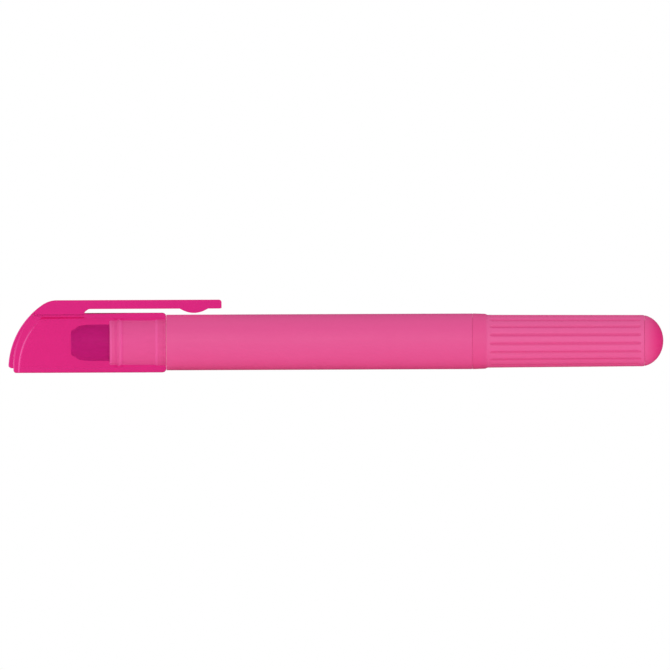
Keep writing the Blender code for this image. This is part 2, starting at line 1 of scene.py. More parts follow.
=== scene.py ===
"""A twist-up gel highlighter in clear and milky pink plastic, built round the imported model.

Lengths are in metres. +X runs along the pen from the cap's nose to the knob, and +Z is up,
towards the clip.
"""

from math import pi, radians

import bmesh
import bpy
import numpy as np
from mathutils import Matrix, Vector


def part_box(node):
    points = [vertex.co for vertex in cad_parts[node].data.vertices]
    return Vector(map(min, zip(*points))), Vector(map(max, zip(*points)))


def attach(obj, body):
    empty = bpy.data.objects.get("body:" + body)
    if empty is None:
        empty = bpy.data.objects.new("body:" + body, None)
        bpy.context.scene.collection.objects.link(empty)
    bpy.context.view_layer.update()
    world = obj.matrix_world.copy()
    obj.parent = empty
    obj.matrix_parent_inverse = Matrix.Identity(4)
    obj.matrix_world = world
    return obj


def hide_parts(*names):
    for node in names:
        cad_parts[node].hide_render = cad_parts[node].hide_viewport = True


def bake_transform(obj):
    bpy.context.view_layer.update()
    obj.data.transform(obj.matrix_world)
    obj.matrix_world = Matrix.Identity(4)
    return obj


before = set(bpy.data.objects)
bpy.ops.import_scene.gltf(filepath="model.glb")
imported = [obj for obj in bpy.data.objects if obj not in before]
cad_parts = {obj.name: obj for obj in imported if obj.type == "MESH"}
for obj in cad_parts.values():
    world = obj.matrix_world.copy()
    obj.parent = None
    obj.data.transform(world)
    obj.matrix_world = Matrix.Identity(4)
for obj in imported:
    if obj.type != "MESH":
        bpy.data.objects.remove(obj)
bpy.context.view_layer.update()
MM = 0.001


# The studio: a white table and backdrop under even, soft light, with a camera that looks level
# at the pen's side. Mirrored rays meet a dim room, as they would between dark screens.
VIEW_WIDTH = 143.15 * MM
VIEW_CENTRE_X = -0.14 * MM
VIEW_CENTRE_Z = 7.85 * MM
VIEW_ROLL = radians(0.23)
CAMERA_DISTANCE = 0.4
TABLE_HALF = 0.6
TABLE_WHITE = 0.93
TABLE_ROUGHNESS = 0.6
ROOM_FOR_DIFFUSE = 0.915
ROOM_FOR_GLOSS = 0.03
TABLE_GLOW = 0.36

camera_data = bpy.data.cameras.new("camera")
camera_data.type = "ORTHO"
camera_data.ortho_scale = VIEW_WIDTH
camera = bpy.data.objects.new("camera", camera_data)
camera.location = (VIEW_CENTRE_X, -CAMERA_DISTANCE, VIEW_CENTRE_Z)
camera.rotation_euler = (pi / 2, VIEW_ROLL, 0)
bpy.context.scene.collection.objects.link(camera)
bpy.context.scene.camera = camera
bpy.context.scene.view_settings.view_transform = "Standard"

room = bpy.data.worlds.new("studio")
bpy.context.scene.world = room
room.use_nodes = True
room.cycles.sampling_method = "NONE"
room_tree = room.node_tree
ray = room_tree.nodes.new("ShaderNodeLightPath")
mirrored = room_tree.nodes.new("ShaderNodeMath")
mirrored.operation = "SUBTRACT"
mirrored.use_clamp = True
room_tree.links.new(ray.outputs["Is Glossy Ray"], mirrored.inputs[0])
room_tree.links.new(ray.outputs["Is Transmission Ray"], mirrored.inputs[1])
strength = room_tree.nodes.new("ShaderNodeMath")
strength.operation = "MULTIPLY"
lit_rays = ((mirrored.outputs["Value"], ROOM_FOR_GLOSS), (ray.outputs["Is Diffuse Ray"], ROOM_FOR_DIFFUSE))
for socket, (kind, share) in enumerate(lit_rays):
    dim = room_tree.nodes.new("ShaderNodeMapRange")
    dim.inputs["To Min"].default_value = 1.0
    dim.inputs["To Max"].default_value = share
    room_tree.links.new(kind, dim.inputs["Value"])
    room_tree.links.new(dim.outputs["Result"], strength.inputs[socket])
backdrop = room_tree.nodes["Background"]
backdrop.inputs["Color"].default_value = (1, 1, 1, 1)
room_tree.links.new(strength.outputs["Value"], backdrop.inputs["Strength"])

table_mesh = bpy.data.meshes.new("table")
table_corners = [(-TABLE_HALF, -TABLE_HALF, 0), (TABLE_HALF, -TABLE_HALF, 0)]
table_corners += [(TABLE_HALF, TABLE_HALF, 0), (-TABLE_HALF, TABLE_HALF, 0)]
table_mesh.from_pydata(table_corners, [], [(0, 1, 2, 3)])
table = bpy.data.objects.new("table", table_mesh)
bpy.context.scene.collection.objects.link(table)
table_paint = bpy.data.materials.new("white table")
table_paint.use_nodes = True
table_shader = table_paint.node_tree.nodes["Principled BSDF"]
table_shader.inputs["Base Color"].default_value = (TABLE_WHITE, TABLE_WHITE, TABLE_WHITE, 1)
table_shader.inputs["Roughness"].default_value = TABLE_ROUGHNESS
table_shader.inputs["Emission Color"].default_value = (1, 1, 1, 1)
table_shader.inputs["Emission Strength"].default_value = TABLE_GLOW
table_tree = table_paint.node_tree
table_ray = table_tree.nodes.new("ShaderNodeLightPath")
table_seen = table_tree.nodes.new("ShaderNodeMapRange")
table_seen.inputs["To Min"].default_value = ROOM_FOR_GLOSS
table_seen.inputs["To Max"].default_value = 1.0
table_tree.links.new(table_ray.outputs["Is Transmission Ray"], table_seen.inputs["Value"])
table_even = table_tree.nodes.new("ShaderNodeEmission")
table_tree.links.new(table_seen.outputs["Result"], table_even.inputs["Strength"])
table_kind = table_tree.nodes.new("ShaderNodeMath")
table_kind.operation = "MAXIMUM"
table_tree.links.new(table_ray.outputs["Is Glossy Ray"], table_kind.inputs[0])
table_tree.links.new(table_ray.outputs["Is Transmission Ray"], table_kind.inputs[1])
table_mix = table_tree.nodes.new("ShaderNodeMixShader")
table_tree.links.new(table_kind.outputs["Value"], table_mix.inputs["Fac"])
table_tree.links.new(table_shader.outputs["BSDF"], table_mix.inputs[1])
table_tree.links.new(table_even.outputs["Emission"], table_mix.inputs[2])
table_tree.links.new(table_mix.outputs["Shader"], table_tree.nodes["Material Output"].inputs["Surface"])
table_mesh.materials.append(table_paint)

FRONT_LIGHT_POWER = 0.5
FRONT_LIGHT_SIZE = 0.6
FRONT_LIGHT_HEIGHT = 0.3
FRONT_LIGHT_AT = (0, -0.6, 0.16)
FRONT_LIGHT_TILT = radians(76)
front_data = bpy.data.lights.new("front softbox", "AREA")
front_data.shape = "RECTANGLE"
front_data.size = FRONT_LIGHT_SIZE
front_data.size_y = FRONT_LIGHT_HEIGHT
front_data.energy = FRONT_LIGHT_POWER
front_light = bpy.data.objects.new("front softbox", front_data)
front_light.location = FRONT_LIGHT_AT
front_light.rotation_euler = (FRONT_LIGHT_TILT, 0, 0)
front_light.visible_transmission = False
bpy.context.scene.collection.objects.link(front_light)


# The barrel is an extruded tube of milky translucent plastic with a satin surface and eased
# ends. The nozzle and the guide bush are pressed into it.
low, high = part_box("barrel_shell")
AXIS_Z = (low.z + high.z) / 2
BARREL_FRONT_X = low.x - 0.18 * MM
BARREL_REAR_X = high.x + 0.14 * MM
BARREL_R = 5.94 * MM
BARREL_BORE_R = 4.85 * MM
BARREL_FRONT_EDGE = 0.12 * MM
MILKY_IOR = 1.45
SATIN_ROUGHNESS = 0.48
MERGE_WITHIN = 0.0002 * MM
SHARP_FROM = radians(50)
SIDES = 192
BARREL_PINK = (0.745, 0.08, 0.28)
BARREL_DEEP_PINK = (0.725, 0.064, 0.26)


def eased(corners, closed=True, steps=7):
    """A turned outline with its corners eased.

    A corner is (x, radius, ease). Its rounding is a quadratic curve that leaves one side at the
    ease's distance before the corner and joins the next side as far after it. The two ends of
    an outline that isn't closed stay where they are.
    """
    corners = np.array(corners)
    point, ease = corners[:, :2], corners[:, 2:]
    to_last = np.roll(point, 1, axis=0) - point
    to_next = np.roll(point, -1, axis=0) - point
    leave = point + ease * to_last / np.linalg.norm(to_last, axis=1, keepdims=True)
    join = point + ease * to_next / np.linalg.norm(to_next, axis=1, keepdims=True)
    t = np.linspace(0, 1, steps)[None, :, None]
    curve = (1 - t) ** 2 * leave[:, None] + 2 * t * (1 - t) * point[:, None] + t**2 * join[:, None]
    if closed:
        return curve.reshape(-1, 2)
    return np.concatenate([point[:1], curve[1:-1].reshape(-1, 2), point[-1:]])


def turned(outline, sides=SIDES):
    """Sweeps an outline of (x, radius) round the pen: y = -radius cos a, z = axis + radius sin a."""
    angle = np.linspace(0, 2 * pi, sides, endpoint=False)
    x, r = outline[:, :1], outline[:, 1:]
    return np.stack([x + 0 * angle, -r * np.cos(angle), AXIS_Z + r * np.sin(angle)], axis=2)


def skin(name, grid, material, closed=True, shade=None):
    """A smooth piece over a grid of points.

    The columns close into a ring. The rows close too, or else end in rows that are one point
    each. Points that coincide are merged, and the faces are turned to point outwards. A shade
    gives each point a number that the material can read.
    """
    rows, columns = grid.shape[:2]
    index = np.arange(rows * columns).reshape(rows, columns)
    here = index if closed else index[:-1]
    ahead = np.roll(index, -1, axis=0) if closed else index[1:]
    faces = np.stack([here, ahead, np.roll(ahead, -1, axis=1), np.roll(here, -1, axis=1)], axis=2)
    mesh = bpy.data.meshes.new(name)
    mesh.from_pydata(grid.reshape(-1, 3).tolist(), [], faces.reshape(-1, 4).tolist())
    if shade is not None:
        values = mesh.attributes.new("shade", "FLOAT", "POINT")
        values.data.foreach_set("value", shade.reshape(-1).astype(np.float32))
    tidy = bmesh.new()
    tidy.from_mesh(mesh)
    bmesh.ops.remove_doubles(tidy, verts=tidy.verts, dist=MERGE_WITHIN)
    bmesh.ops.recalc_face_normals(tidy, faces=tidy.faces)
    tidy.to_mesh(mesh)
    tidy.free()
    mesh.shade_smooth()
    mesh.set_sharp_from_angle(angle=SHARP_FROM)
    mesh.materials.append(material)
    piece = bpy.data.objects.new(name, mesh)
    bpy.context.scene.collection.objects.link(piece)
    return piece


def add_nodes(tree, **kinds):
    """New shader nodes, by the short name and the type that each keyword gives."""
    made = {}
    for name, kind in kinds.items():
        made[name] = tree.nodes.new(kind)
        made[name].label = name
    return made


def join(tree, start, start_socket, end, end_socket):
    """Links two nodes by the names of their sockets, or by the number of the second one.

    A Mix node of colours has hidden sockets of the same names, which are passed over.
    """
    source = next(s for s in start.outputs if s.name == start_socket and s.enabled)
    if isinstance(end_socket, int):
        tree.links.new(source, end.inputs[end_socket])
    else:
        tree.links.new(source, next(s for s in end.inputs if s.name == end_socket and s.enabled))


def moulded_grain():
    """A node group for moulded plastic.

    Clouds a few millimetres wide and faint flow lines along the pen mix the two colours. The
    same clouds vary the roughness, and a fine pebble with a few long hair scratches is the height.
    """
    group = bpy.data.node_groups.new("moulded grain", "ShaderNodeTree")
    inputs = (
        ("Colour", "NodeSocketColor"),
        ("Deep Colour", "NodeSocketColor"),
        ("Cloud", "NodeSocketFloat"),
        ("Flow", "NodeSocketFloat"),
        ("Roughness", "NodeSocketFloat"),
        ("Pebble Size", "NodeSocketFloat"),
    )
    for name, kind in inputs:
        group.interface.new_socket(name, in_out="INPUT", socket_type=kind)
    outputs = (
        ("Colour", "NodeSocketColor"),
        ("Roughness", "NodeSocketFloat"),
        ("Height", "NodeSocketFloat"),
    )
    for name, kind in outputs:
        group.interface.new_socket(name, in_out="OUTPUT", socket_type=kind)
    n = add_nodes(
        group,
        given="NodeGroupInput",
        result="NodeGroupOutput",
        place="ShaderNodeTexCoord",
        stretch="ShaderNodeMapping",
        scratch_stretch="ShaderNodeMapping",
        cloud="ShaderNodeTexNoise",
        flow="ShaderNodeTexNoise",
        pebble="ShaderNodeTexNoise",
        scratch="ShaderNodeTexNoise",
        cloud_share="ShaderNodeMath",
        flow_share="ShaderNodeMath",
        share="ShaderNodeMath",
        tint="ShaderNodeMix",
        rough_change="ShaderNodeMapRange",
        rough="ShaderNodeMath",
        hairs="ShaderNodeMapRange",
        height="ShaderNodeMath",
        per_metre="ShaderNodeMath",
    )
    n["stretch"].inputs["Scale"].default_value = (0.04, 1, 1)
    n["scratch_stretch"].inputs["Scale"].default_value = (0.03, 1, 1)
    n["scratch_stretch"].inputs["Rotation"].default_value = (0, 0.02, 0.03)
    n["cloud"].inputs["Scale"].default_value = 160
    n["cloud"].inputs["Detail"].default_value = 3
    n["flow"].inputs["Scale"].default_value = 900
    n["flow"].inputs["Detail"].default_value = 2
    n["pebble"].inputs["Detail"].default_value = 2
    n["scratch"].inputs["Scale"].default_value = 2600
    n["scratch"].inputs["Detail"].default_value = 1
    for name, operation in (
        ("cloud_share", "MULTIPLY"),
        ("flow_share", "MULTIPLY"),
        ("share", "ADD"),
        ("rough", "MULTIPLY"),
        ("height", "ADD"),
        ("per_metre", "DIVIDE"),
    ):
        n[name].operation = operation
    n["share"].use_clamp = True
    n["tint"].data_type = "RGBA"
    n["rough_change"].inputs["From Min"].default_value = 0.3
    n["rough_change"].inputs["From Max"].default_value = 0.7
    n["rough_change"].inputs["To Min"].default_value = 0.88
    n["rough_change"].inputs["To Max"].default_value = 1.12
    n["hairs"].inputs["From Min"].default_value = 0.68
    n["hairs"].inputs["From Max"].default_value = 0.74
    n["hairs"].inputs["To Max"].default_value = -1.5
    n["per_metre"].inputs[0].default_value = 1.0
    for start, start_socket, end, end_socket in (
        ("place", "Object", "cloud", "Vector"),
        ("place", "Object", "pebble", "Vector"),
        ("place", "Object", "stretch", "Vector"),
        ("place", "Object", "scratch_stretch", "Vector"),
        ("stretch", "Vector", "flow", "Vector"),
        ("scratch_stretch", "Vector", "scratch", "Vector"),
        ("given", "Pebble Size", "per_metre", 1),
        ("per_metre", "Value", "pebble", "Scale"),
        ("cloud", "Fac", "cloud_share", 0),
        ("given", "Cloud", "cloud_share", 1),
        ("flow", "Fac", "flow_share", 0),
        ("given", "Flow", "flow_share", 1),
        ("cloud_share", "Value", "share", 0),
        ("flow_share", "Value", "share", 1),
        ("share", "Value", "tint", "Factor"),
        ("given", "Colour", "tint", "A"),
        ("given", "Deep Colour", "tint", "B"),
        ("tint", "Result", "result", "Colour"),
        ("cloud", "Fac", "rough_change", "Value"),
        ("rough_change", "Result", "rough", 0),
        ("given", "Roughness", "rough", 1),
        ("rough", "Value", "result", "Roughness"),
        ("scratch", "Fac", "hairs", "Value"),
        ("pebble", "Fac", "height", 0),
        ("hairs", "Result", "height", 1),
        ("height", "Value", "result", "Height"),
    ):
        join(group, n[start], start_socket, n[end], end_socket)
    return group


grain = moulded_grain()


def grained(material, colour, deep, roughness, cloud, flow, pebble, bump):
    """Feeds a material's Principled shader from the moulded grain, and returns the shader."""
    material.use_nodes = True
    tree = material.node_tree
    shader = tree.nodes["Principled BSDF"]
    n = add_nodes(tree, grain="ShaderNodeGroup", relief="ShaderNodeBump")
    n["grain"].node_tree = grain
    n["grain"].inputs["Colour"].default_value = (*colour, 1)
    n["grain"].inputs["Deep Colour"].default_value = (*deep, 1)
    n["grain"].inputs["Cloud"].default_value = cloud
    n["grain"].inputs["Flow"].default_value = flow
    n["grain"].inputs["Roughness"].default_value = roughness
    n["grain"].inputs["Pebble Size"].default_value = pebble
    n["relief"].inputs["Strength"].default_value = 1.0
    n["relief"].inputs["Distance"].default_value = bump
    join(tree, n["grain"], "Colour", shader, "Base Color")
    join(tree, n["grain"], "Roughness", shader, "Roughness")
    join(tree, n["grain"], "Height", n["relief"], "Height")
    join(tree, n["relief"], "Normal", shader, "Normal")
    return shader


def colour_over(tree, shader, mask, mask_socket, colour):
    """Mixes one more colour into a shader's base colour, as far as the mask goes."""
    mix = tree.nodes.new("ShaderNodeMix")
    mix.data_type = "RGBA"
    under = shader.inputs["Base Color"].links[0].from_socket
    sockets = {socket.name: socket for socket in mix.inputs if socket.enabled}
    sockets["B"].default_value = (*colour, 1)
    tree.links.new(under, sockets["A"])
    join(tree, mask, mask_socket, mix, "Factor")
    join(tree, mix, "Result", shader, "Base Color")


barrel_plastic = bpy.data.materials.new("milky pink barrel")
barrel_shader = grained(
    barrel_plastic,
    BARREL_PINK,
    BARREL_DEEP_PINK,
    SATIN_ROUGHNESS,
    cloud=0.5,
    flow=0.5,
    pebble=0.35 * MM,
    bump=0.004 * MM,
)
barrel_shader.inputs["IOR"].default_value = MILKY_IOR

barrel_outline = eased(
    [
        (BARREL_FRONT_X, BARREL_BORE_R, 0.1 * MM),
        (BARREL_FRONT_X, BARREL_R, BARREL_FRONT_EDGE),
        (BARREL_REAR_X, BARREL_R, 0.12 * MM),
        (BARREL_REAR_X, BARREL_BORE_R, 0.1 * MM),
    ]
)
barrel = skin("barrel_tube", turned(barrel_outline), barrel_plastic)
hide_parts("barrel_shell")
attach(barrel, "barrel")


# The nozzle is moulded in paler milky plastic and pressed into the barrel's front. Its mouth
# has a rounded lip, a bead clicks into the cap, and a land at the back centres the cap. Thin
# paler rings at the lip, beside the bead, at the land and by the barrel's front edge are
# painted highlights, where those edges catch the light.
low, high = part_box("front_nozzle")
NECK_FRONT_X = low.x + 0.2 * MM
NOZZLE_REAR_X = high.x
NECK_R = 4.75 * MM
NECK_BEAD_R = 4.9 * MM
NECK_BORE_R = 4.15 * MM
NECK_LIP = 0.4 * MM
NECK_BEAD_X = -46.3 * MM
NECK_BEAD_HALF = 0.45 * MM
NECK_LAND_X = -38.6 * MM
NECK_PLUG_R = 4.79 * MM
NECK_SHOULDER_X = BARREL_FRONT_X - 0.1 * MM
NOZZLE_PALE = (0.80, 0.70, 0.63)
NOZZLE_SHADE = (0.79, 0.64, 0.59)
# The colour of the painted highlight rings.
NOZZLE_HIGHLIGHT = (0.87, 0.82, 0.74)
# Painted highlights: thin paler rings on the nozzle, each given as a centre and a half width.
NOZZLE_HIGHLIGHT_RINGS = (
    (-48.05 * MM, 0.2 * MM),
    (NECK_BEAD_X + 0.4 * MM, 0.3 * MM),
    (-38.3 * MM, 0.25 * MM),
    (-36.5 * MM, 0.2 * MM),
)

nozzle_plastic = bpy.data.materials.new("pale pink nozzle")
nozzle_shader = grained(
    nozzle_plastic, NOZZLE_PALE, NOZZLE_SHADE, 0.45, cloud=0.5, flow=0.2, pebble=0.3 * MM, bump=0.003 * MM
)
nozzle_shader.inputs["IOR"].default_value = MILKY_IOR
nozzle_tree = nozzle_plastic.node_tree
n = add_nodes(nozzle_tree, place="ShaderNodeTexCoord", split="ShaderNodeSeparateXYZ")
join(nozzle_tree, n["place"], "Object", n["split"], "Vector")
highlight_masks = []
for ring_x, ring_half in NOZZLE_HIGHLIGHT_RINGS:
    ring = nozzle_tree.nodes.new("ShaderNodeMath")
    ring.operation = "COMPARE"
    ring.inputs[1].default_value = ring_x
    ring.inputs[2].default_value = ring_half
    join(nozzle_tree, n["split"], "X", ring, 0)
    highlight_masks.append(ring)
in_highlight = highlight_masks[0]
for ring in highlight_masks[1:]:
    either = nozzle_tree.nodes.new("ShaderNodeMath")
    either.operation = "MAXIMUM"
    join(nozzle_tree, in_highlight, "Value", either, 0)
    join(nozzle_tree, ring, "Value", either, 1)
    in_highlight = either
# Paints the highlight rings over the nozzle's own colour.
colour_over(nozzle_tree, nozzle_shader, in_highlight, "Value", NOZZLE_HIGHLIGHT)

nozzle_outline = eased(
    [
        (NECK_FRONT_X, NECK_BORE_R, 0.15 * MM),
        (NECK_FRONT_X, NECK_R, NECK_LIP),
        (NECK_BEAD_X - NECK_BEAD_HALF, NECK_R, 0.1 * MM),
        (NECK_BEAD_X - NECK_BEAD_HALF / 2, NECK_BEAD_R, 0.1 * MM),
        (NECK_BEAD_X + NECK_BEAD_HALF / 2, NECK_BEAD_R, 0.1 * MM),
        (NECK_BEAD_X + NECK_BEAD_HALF, NECK_R, 0.1 * MM),
        (NECK_LAND_X, NECK_R, 0.1 * MM),
        (NECK_LAND_X + 0.2 * MM, NECK_BEAD_R, 0.08 * MM),
        (NECK_SHOULDER_X, NECK_BEAD_R, 0.08 * MM),
        (NECK_SHOULDER_X, NECK_PLUG_R, 0.05 * MM),
        (NOZZLE_REAR_X, NECK_PLUG_R, 0.1 * MM),
        (NOZZLE_REAR_X, NECK_BORE_R, 0.1 * MM),
    ]
)
nozzle = skin("nozzle", turned(nozzle_outline), nozzle_plastic)
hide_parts("front_nozzle")
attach(nozzle, "barrel")


# The gel stick is a cast crayon of waxy magenta gel. Its tip is bevelled and rounded by use,
# and the stick runs back inside the barrel to its cup.
low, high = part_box("gel_stick")
STICK_TIP_X = low.x + 0.2 * MM
STICK_REAR_X = high.x
STICK_R = 3.9 * MM
GEL_PINK = (0.455, 0.035, 0.30)
GEL_DEEP = (0.425, 0.025, 0.27)
GEL_IOR = 1.42
STICK_SIDES = 96

gel = bpy.data.materials.new("waxy magenta gel")
gel_shader = grained(gel, GEL_PINK, GEL_DEEP, 0.38, cloud=0.9, flow=0.1, pebble=0.8 * MM, bump=0.02 * MM)
gel_shader.inputs["IOR"].default_value = GEL_IOR
stick_outline = eased(
    [
        (STICK_TIP_X, 0, 0),
        (STICK_TIP_X, 2.5 * MM, 0.3 * MM),
        (STICK_TIP_X + 1.9 * MM, 3.65 * MM, 0.4 * MM),
        (STICK_TIP_X + 3.6 * MM, STICK_R, 0.6 * MM),
        (STICK_REAR_X, STICK_R, 0.1 * MM),
        (STICK_REAR_X, 0, 0),
    ],
    closed=False,
)
stick = skin("gel_crayon", turned(stick_outline, STICK_SIDES), gel, closed=False)
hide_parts("gel_stick")
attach(stick, "carrier")


# The cap is one clear, tinted moulding: a tube cut off by a raked nose that curves up and back.
# Two small ridges inside its mouth hold the nozzle's bead. Its tint is put on the faces that
# look outwards and its index is low, so the walls behind each other draw no dark lines.
low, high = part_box("cap_shell")
CAP_MOUTH_X = high.x
NOSE_TIP_X = low.x
CAP_R = AXIS_Z
CAP_BORE_R = 5.3 * MM
CAP_RIDGE_R = 5.19 * MM
CAP_RIDGES_X = (-46.98 * MM, -45.64 * MM)
RIDGE_FOOT_HALF = 0.28 * MM
RIDGE_TOP_HALF = 0.1 * MM
RIDGES_HALF = 1.0 * MM
CAP_EDGE = 0.95 * MM
NOSE_EDGE = 0.5 * MM
NOSE_SQUARE_Z = 4.0 * MM
NOSE_SQUARE_OVER = 3 * MM
NOSE_ROWS = 40
EDGE_STEPS = 7
CAP_SIDES = 256
NOSE_CURVE_R = 16.84 * MM
NOSE_CENTRE_Z = -5.74 * MM
NOSE_CENTRE_X = NOSE_TIP_X + NOSE_CURVE_R
NOSE_INSET_LOW = 1.15 * MM
NOSE_INSET_HIGH = 0.35 * MM
NOSE_WALL_INSET = 2.25 * MM
CLEAR_PINK = (0.742, 0.030, 0.235)
CLEAR_DEEP_PINK = (0.715, 0.025, 0.22)
RIDGE_PINK = (0.93, 0.62, 0.82)
INSIDE_PINK = (1.0, 0.95, 0.98)
INSIDE_DEEP_PINK = (1.0, 0.92, 0.96)
STRIP_HALF_WIDTH = 2.5 * MM
STRIP_LOW_Z = -5.35 * MM
SLOT_X = -53.76 * MM
LET_THROUGH = (1.0, 0.93, 0.97)
CLEAR_IOR = 1.05
# The painted highlight lines on the nose: their half width, and how they fade with height.
NOSE_GLINT_LINE = 0.14 * MM
GLINT_FADE_HIGH_Z = 3 * MM
GLINT_FADE_LOW_Z = -1 * MM
GLINT_FAINTEST = 0.1
FACE_MARGIN = 0.05 * MM
BORE_MARGIN = 0.02 * MM
# The colour of the painted highlight lines on the nose.
NOSE_GLINT_PINK = (0.88, 0.11, 0.39)
CLARITY = 0.85


def face_inset(z):
    """How far the tube's end face lies inside the strip's outer curve: less towards the top."""
    share = np.clip((z + CAP_R) / (2 * CAP_R), 0, 1)
    return NOSE_INSET_LOW + (NOSE_INSET_HIGH - NOSE_INSET_LOW) * share


def nose_x(z, inset):
    """The nose curve at a height over the axis: a circle's front half, moved in by the inset."""
    return NOSE_CENTRE_X - np.sqrt((NOSE_CURVE_R - inset) ** 2 - (z - NOSE_CENTRE_Z) ** 2)


def cap_grid(sides=CAP_SIDES):
    """The cap's skin from the middle of the nose, along the outside, and back along the bore.

    Every row is a ring of one radius. A ring on the nose takes x from the nose curve at each
    point's height, and the quarter-round edge fades out towards the top. A ring along the tube
    lies at one x.
    """
    quarter = np.linspace(0, pi / 2, EDGE_STEPS)
    flat = np.linspace(0, 1, NOSE_ROWS)
    back = quarter[::-1]
    out_r = [flat * (CAP_R - NOSE_EDGE), CAP_R - NOSE_EDGE * (1 - np.sin(quarter))]
    out_dx = [0 * flat, NOSE_EDGE * (1 - np.cos(quarter))]
    in_r = [CAP_BORE_R - NOSE_EDGE * (1 - np.sin(back)), flat[::-1] * (CAP_BORE_R - NOSE_EDGE)]
    in_dx = [NOSE_EDGE * (1 - np.cos(back)), 0 * flat]
    angle = np.linspace(0, 2 * pi, sides, endpoint=False)

    def nose_rows(radii, shifts, inset):
        r = np.concatenate(radii)[:, None]
        z = r * np.sin(angle)
        rounding = np.clip((NOSE_SQUARE_Z - z) / NOSE_SQUARE_OVER, 0.05, 1)
        x = nose_x(z, inset(z)) + np.concatenate(shifts)[:, None] * rounding
        return np.stack([x, -r * np.cos(angle), AXIS_Z + z], axis=2)

    ridges = []
    for x in CAP_RIDGES_X:
        ridges += [(x - RIDGE_FOOT_HALF, CAP_BORE_R), (x - RIDGE_TOP_HALF, CAP_RIDGE_R)]
        ridges += [(x + RIDGE_TOP_HALF, CAP_RIDGE_R), (x + RIDGE_FOOT_HALF, CAP_BORE_R)]
    mouth = eased(
        [
            (NECK_LAND_X, CAP_R, 0.1 * MM),
            (CAP_MOUTH_X, CAP_R, CAP_EDGE),
            (CAP_MOUTH_X, CAP_BORE_R, 0.2 * MM),
            (NECK_LAND_X, CAP_BORE_R, 0.1 * MM),
        ],
        closed=False,
    )
    bore = np.array(sorted(ridges, reverse=True))
    tube = turned(np.concatenate([mouth, bore]), sides)
    outside = nose_rows(out_r, out_dx, face_inset)
    inside = nose_rows(in_r, in_dx, lambda z: NOSE_WALL_INSET)
    return np.concatenate([outside, tube, inside])


def clear_plastic(name, colour, deep, roughness, clarity):
    """Clear tinted plastic: glass that lets soft light through to what it covers."""
    material = bpy.data.materials.new(name)
    shader = grained(material, colour, deep, roughness, cloud=0.4, flow=0.3, pebble=1.5 * MM, bump=0.002 * MM)
    shader.inputs["Transmission Weight"].default_value = clarity
    shader.inputs["IOR"].default_value = CLEAR_IOR
    tree = material.node_tree
    n = add_nodes(
        tree,
        ray="ShaderNodeLightPath",
        soft="ShaderNodeMath",
        open="ShaderNodeBsdfTransparent",
        mix="ShaderNodeMixShader",
    )
    n["soft"].operation = "MAXIMUM"
    n["open"].inputs["Color"].default_value = (*LET_THROUGH, 1)
    join(tree, n["ray"], "Is Shadow Ray", n["soft"], 0)
    join(tree, n["ray"], "Is Diffuse Ray", n["soft"], 1)
    join(tree, n["soft"], "Value", n["mix"], 0)
    tree.links.new(shader.outputs["BSDF"], n["mix"].inputs[1])
    tree.links.new(n["open"].outputs["BSDF"], n["mix"].inputs[2])
    tree.links.new(n["mix"].outputs["Shader"], tree.nodes["Material Output"].inputs["Surface"])
    return material


cap_plastic = clear_plastic("clear pink cap", CLEAR_PINK, CLEAR_DEEP_PINK, 0.05, CLARITY)
cap_tree = cap_plastic.node_tree
cap_shader = cap_tree.nodes["Principled BSDF"]
# Painted highlights: two thin paler lines on the nose, one just inside the edge of the tube's end face and
# one along the curve of the inner wall, strongest low down and fading upwards.
n = add_nodes(
    cap_tree,
    place="ShaderNodeTexCoord",
    front="ShaderNodeVectorMath",
    flatten="ShaderNodeVectorMath",
    reach="ShaderNodeVectorMath",
    split="ShaderNodeSeparateXYZ",
    rim_reach="ShaderNodeMapRange",
    rim="ShaderNodeMath",
    wall="ShaderNodeMath",
    edges="ShaderNodeMath",
    fade="ShaderNodeMapRange",
    faded="ShaderNodeMath",
)
n["front"].operation = "MINIMUM"
n["front"].inputs[1].default_value = (NOSE_CENTRE_X, 1, 1)
n["flatten"].operation = "MULTIPLY"
n["flatten"].inputs[1].default_value = (1, 0, 1)
n["reach"].operation = "DISTANCE"
n["reach"].inputs[1].default_value = (NOSE_CENTRE_X, 0, NOSE_CENTRE_Z + AXIS_Z)
n["rim_reach"].inputs["From Min"].default_value = AXIS_Z - CAP_R
n["rim_reach"].inputs["From Max"].default_value = AXIS_Z + CAP_R
n["rim_reach"].inputs["To Min"].default_value = NOSE_CURVE_R - NOSE_INSET_LOW - NOSE_GLINT_LINE
n["rim_reach"].inputs["To Max"].default_value = NOSE_CURVE_R - NOSE_INSET_HIGH - NOSE_GLINT_LINE
for name in ("rim", "wall"):
    n[name].operation = "COMPARE"
    n[name].inputs[2].default_value = NOSE_GLINT_LINE
n["wall"].inputs[1].default_value = NOSE_CURVE_R - NOSE_WALL_INSET
n["edges"].operation = "MAXIMUM"
n["fade"].inputs["From Min"].default_value = AXIS_Z + GLINT_FADE_HIGH_Z
n["fade"].inputs["From Max"].default_value = AXIS_Z + GLINT_FADE_LOW_Z
n["fade"].inputs["To Min"].default_value = GLINT_FAINTEST
n["fade"].inputs["To Max"].default_value = 1.0
n["faded"].operation = "MULTIPLY"
for start, start_socket, end, end_socket in (
    ("place", "Object", "front", 0),
    ("front", "Vector", "flatten", 0),
    ("flatten", "Vector", "reach", 0),
    ("place", "Object", "split", "Vector"),
    ("split", "Z", "rim_reach", "Value"),
    ("split", "Z", "fade", "Value"),
    ("reach", "Value", "rim", 0),
    ("rim_reach", "Result", "rim", 1),
    ("reach", "Value", "wall", 0),
    ("rim", "Value", "edges", 0),
    ("wall", "Value", "edges", 1),
    ("edges", "Value", "faded", 0),
    ("fade", "Result", "faded", 1),
):
    join(cap_tree, n[start], start_socket, n[end], end_socket)
